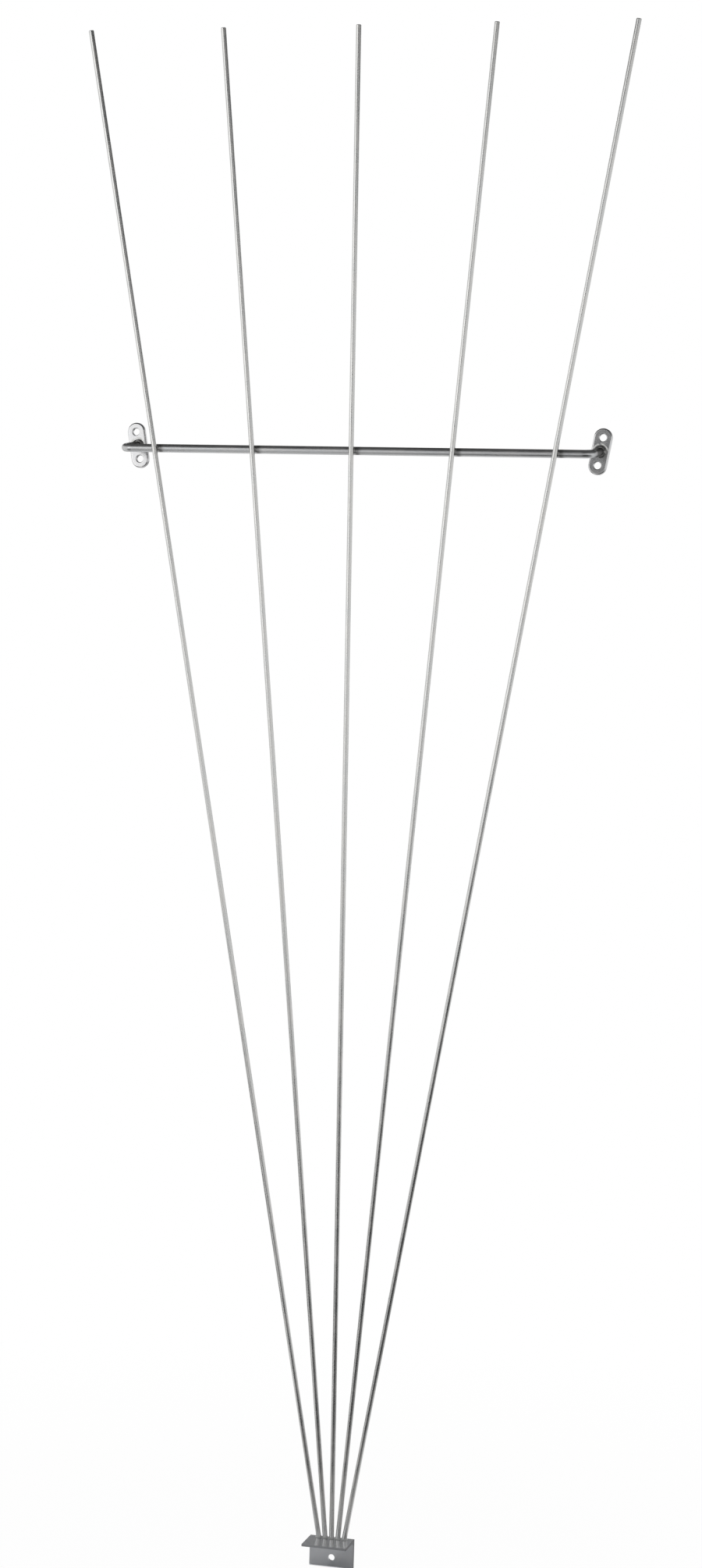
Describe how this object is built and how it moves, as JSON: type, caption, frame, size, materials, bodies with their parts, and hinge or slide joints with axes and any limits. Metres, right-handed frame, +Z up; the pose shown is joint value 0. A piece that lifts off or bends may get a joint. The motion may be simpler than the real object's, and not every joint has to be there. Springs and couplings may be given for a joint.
{
  "type": "espalier frame",
  "caption": "Wall-mounted espalier fan of straight zinc-plated steel rods welded to a foot angle and to a bent crossbar with oblong screw plates.",
  "frame": {"origin": "centre of the base angle's screw hole on the wall plane", "axes": "+X to the right along the wall as seen from the front, +Y into the wall, +Z up; the wall is the plane Y = 0"},
  "size_m": [0.5408, 0.0753, 1.5004],
  "materials": {
    "zinc_plated_rod": "bright zinc plating on drawn round rod, with faint lengthwise drawing lines",
    "zinc_plated_bar": "bright zinc plating on round bar",
    "zinc_plated_angle": "satin zinc plating on hot-rolled angle",
    "zinc_plated_plate": "bright zinc plating on a stamped plate",
    "plated_weld": "weld metal under the zinc plating, uneven and duller"
  },
  "bodies": {
    "root": {"rod_far_left": "zinc_plated_rod", "rod_left": "zinc_plated_rod", "rod_centre": "zinc_plated_rod", "rod_right": "zinc_plated_rod", "rod_far_right": "zinc_plated_rod", "crossbar": "zinc_plated_bar", "base_angle": "zinc_plated_angle", "left_wall_plate": "zinc_plated_plate", "right_wall_plate": "zinc_plated_plate", "foot_welds": "plated_weld", "crossing_welds": "plated_weld", "plate_welds": "plated_weld"}
  },
  "joints": []
}
